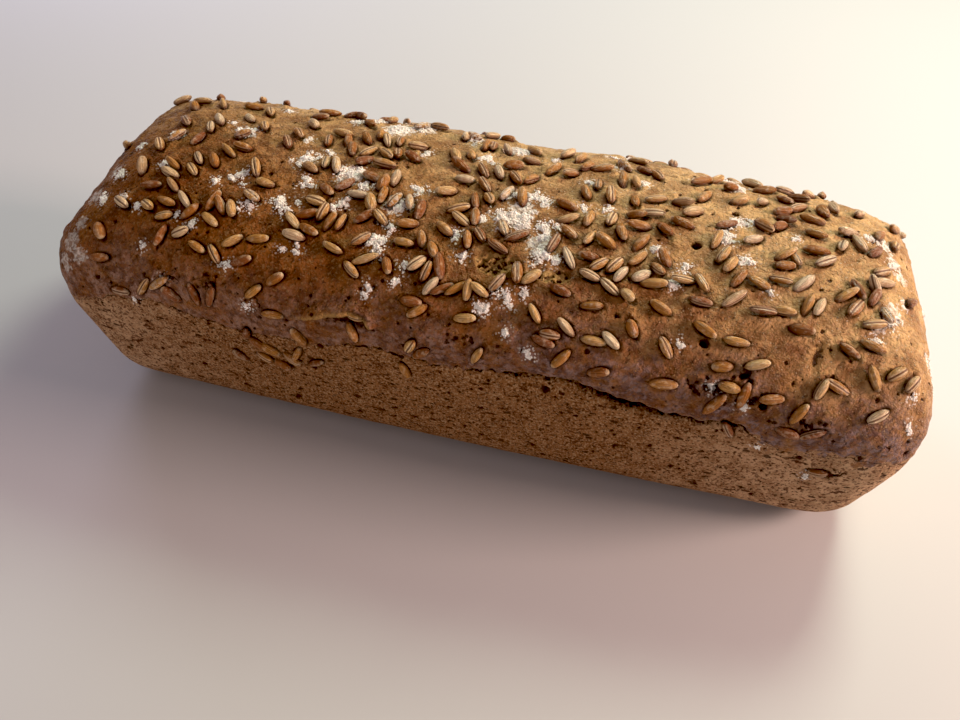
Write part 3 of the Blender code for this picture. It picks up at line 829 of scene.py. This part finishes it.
# Chance lays a third of them crease up, a fifth on one side and the rest crease down.
matrices = np.empty((len(grains), 4, 4))
for number, (spot, facing, turn, on_flank) in enumerate(grains):
    along, across = grain_axes(facing, turn, on_flank)
    size = [side * np.clip(chance.normal(1, 0.1), 0.75, 1.25) for side in GRAIN_SIZE]
    lies = chance.random()
    roll = chance.normal(0, 14) if lies < 0.33 else chance.normal(180, 24)
    if lies > 0.8:
        roll = chance.choice((-75, 75)) + chance.normal(0, 12)
    turned = Matrix((along, across, facing)).transposed()
    turned = turned @ Matrix.Rotation(math.radians(chance.normal(0, 9)), 3, "Y")
    if chance.random() < 0.5:
        turned = turned @ Matrix.Rotation(math.pi, 3, "Z")
    turned = turned @ Matrix.Rotation(math.radians(roll), 3, "X") @ Matrix.Diagonal(size)
    sunk = on_flank and spot.y < 0
    share = chance.uniform(0.12, 0.26) if sunk else chance.uniform(0.34, 0.5)
    raised = spot + facing * GRAIN_SIZE[2] * share
    matrices[number] = Matrix.Translation(raised) @ turned.to_4x4()
each = strew(kernels, matrices)
spots = np.array([spot for spot, _, _, _ in grains]).repeat(each, axis=0)
facings = np.array([facing for _, facing, _, _ in grains]).repeat(each, axis=0)
# Each point's height above the skin, by which the material paints shade low on each grain.
heights = ((points_of(kernels)[0] - spots) * facings).sum(axis=1)
# Tones run from dark to pale; the grains caught in the flank baked darkest, and they count as
# higher, so that less painted shade darkens their base.
tones = chance.random(len(grains)) ** 1.1
for number, (spot, _, _, on_flank) in enumerate(grains):
    if on_flank and spot.y < 0:
        tones[number] *= 0.35 if spot.z < 58 else 0.7
        heights[number * each:(number + 1) * each] += 0.8
paint(kernels, "height", heights)
paint(kernels, "tone", np.repeat(tones, each))
dusted = [max((1.3 - (spot - clump).length / (radius + 1) for clump, _, radius in clumps), default=0)
          for spot, _, _, _ in grains]
paint(kernels, "dusted", np.repeat(np.clip(dusted, 0, 1), each))

# Baked bran: amber and a little waxy, streaked along the grain, paler where it is rubbed, at one
# tip and beside the crease. Low down, where it touches the crust, it is darkened partly by dough
# stain and partly as painted shade, and the crease is painted darker as shade.
tree, surface = new_material("baked_spelt_bran", kernels)
lie = add(tree, "Attribute", {"attribute_name": "lie"}, out="Vector")
at = {name: add(tree, "Attribute", {"attribute_name": name}, out="Fac")
      for name in ("tone", "dusted", "height")}
place = add(tree, "TexCoord", {}, out="Object")
part = add(tree, "SeparateXYZ", {}, lie).node.outputs
grain_colour = add(tree, "ValToRGB", {}, at["tone"])
ramp = grain_colour.node.color_ramp
TONES = ((0.0, "#8e5222"), (0.2, "#b5762f"), (0.45, "#d49a4c"), (0.7, "#eebf78"), (0.9, "#ffe6bc"),
         (1.0, "#cc9a60"))
for position, code in TONES[1:-1]:
    ramp.elements.new(position)
for element, (position, code) in zip(ramp.elements, TONES):
    element.position = position
    element.color = colour(code)
drawn_out = add(tree, "Mapping", {}, lie, None, None, (1.8, 12, 12))
streaks = add(tree, "Math", TIMES, at["tone"], 50.0)
streaks = add(tree, "TexNoise", {"noise_dimensions": "4D"}, drawn_out, streaks, 1.0, 2.0)
streaks = add(tree, "MapRange", SMOOTH, streaks, 0.35, 0.65)
from_crease = add(tree, "Math", {"operation": "ABSOLUTE"}, part["Y"])
lips = add(tree, "MapRange", SMOOTH, from_crease, 0.25, 0.14)
crease_shade = add(tree, "MapRange", SMOOTH, from_crease, 0.12, 0.04)
grain_colour = lay(tree, grain_colour, ("#7d4115", streaks, 0.55),
                   ("#f5dfbf", clouds(tree, place, 1.5, 4.0, 0.5, 0.66), 0.3),
                   ("#f8dfb6", lips, add(tree, "MapRange", SMOOTH, part["Z"], 0.1, 0.3), 0.45),
                   ("#f8dfb6", add(tree, "MapRange", SMOOTH, part["X"], 0.34, 0.5, 0.0, 0.6)),
                   ("#6b3712", add(tree, "MapRange", SMOOTH, part["X"], -0.36, -0.5, 0.0, 0.6)),
                   # The crease is painted darker, as shade in the groove.
                   ("#6e3810", crease_shade, add(tree, "MapRange", SMOOTH, part["Z"], 0.05, 0.15), 0.85),
                   # Darker low on the grain by the crust: partly dough stain, partly painted shade.
                   ("#5a240a", add(tree, "MapRange", SMOOTH, at["height"], 2.2, 0.3, 0.0, 0.9)),
                   ("#efe6d8", at["dusted"], clouds(tree, place, 1.0, 2.0, 0.45, 0.58), 0.8))
tree.links.new(grain_colour, surface.inputs["Base Color"])
surface.inputs["Roughness"].default_value = 0.33
surface.inputs["Specular IOR Level"].default_value = 0.6
relieve(tree, surface, (streaks, 0.4, 0.8))
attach(kernels, "root")


# Flour that clung to the dough: white clots of granules where it fell thickest. It was shaken
# on by hand before proving, so it lies in uneven patches.
deselect_all()
bpy.ops.mesh.primitive_ico_sphere_add(subdivisions=1, radius=0.5)
granules = bpy.context.object
granules.name = "flour_clots"
bpy.ops.object.shade_smooth()
GRANULES_PER_MM2 = 1.6
skin = BVHTree.FromObject(crust, bpy.context.evaluated_depsgraph_get())
matrices = []
for middle, size in lobes:
    for _ in range(1 + int(math.pi * (size + 0.4) ** 2 * GRANULES_PER_MM2)):
        out = chance.random() ** 0.6 * (1.15 if chance.random() < 0.8 else 2.3)
        away = Vector(chance.normal(0, 1, 3)).normalized()
        hit, way, _, _ = skin.find_nearest((middle + away * out * size) / MM)
        width = chance.uniform(0.35, 0.85) * (1 if out < 1.15 else 0.6)
        pile = max(0, 1 - out * out) * 0.3 * size * chance.random()
        tilted = (way + Vector(chance.normal(0, 0.25, 3))).to_track_quat("Z", "Y").to_matrix()
        tilted = tilted @ Matrix.Rotation(chance.uniform(0, math.tau), 3, "Z")
        flat = Matrix.Diagonal((width, width * chance.uniform(0.6, 1), width * chance.uniform(0.4, 0.7)))
        raised = hit * MM + way * (pile + width * chance.uniform(-0.15, 0.2))
        matrices.append(Matrix.Translation(raised) @ (tilted @ flat).to_4x4())
strew(granules, np.array(matrices))
# Wheat flour: a dry white powder, faintly creamy in patches, with no shine.
tree, surface = new_material("wheat_flour", granules)
place = add(tree, "TexCoord", {}, out="Object")
white = lay(tree, "#fffaf2", ("#f6efe3", clouds(tree, place, 3, 2.0, 0.4, 0.65)))
tree.links.new(white, surface.inputs["Base Color"])
surface.inputs["Roughness"].default_value = 0.95
surface.inputs["Specular IOR Level"].default_value = 0.1
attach(granules, "root")


# The floor: plain, pale and slightly glossy.
deselect_all()
bpy.ops.mesh.primitive_plane_add(size=8)
floor = bpy.context.object
floor.name = "floor"
tree, surface = new_material("plain_pale_paint", floor)
surface.inputs["Base Color"].default_value = colour("#c9c9c9")
surface.inputs["Roughness"].default_value = 0.5


# Daylight: a low window to the right, a high one behind it, a little blue sky light from the
# left, a faint light from the room in front, and the room's own warm shade all round.
LIGHT_DISTANCE = 0.9


def add_light(name, azimuth, height, size, watts, code):
    """A light that looks at the loaf, at an azimuth from +X towards +Y and a height in degrees."""
    azimuth, height = math.radians(azimuth), math.radians(height)
    level = Vector((math.cos(azimuth), math.sin(azimuth), 0))
    way = level * math.cos(height) + Vector((0, 0, math.sin(height)))
    turn = way.to_track_quat("Z", "Y").to_euler()
    bpy.ops.object.light_add(type="AREA", location=way * LIGHT_DISTANCE, rotation=turn)
    light = bpy.context.object
    light.name = name
    light.data.size = size
    light.data.energy = watts
    light.data.color = colour(code)[:3]
    return light


add_light("low_window", 4, 25, 0.26, 8.4, "#ffdacc")
add_light("high_window", 61, 45, 0.26, 5.5, "#f5ffe6")
add_light("left_sky", 130, 20, 0.4, 3.1, "#e3e0ff").visible_glossy = False
add_light("room_front", -105, 10, 0.4, 1.6, "#fff4f4").visible_glossy = False
room = bpy.data.worlds.new("room")
bpy.context.scene.world = room
room.use_nodes = True
room.node_tree.nodes["Background"].inputs["Color"].default_value = colour("#ffedee")
room.node_tree.nodes["Background"].inputs["Strength"].default_value = 0.26
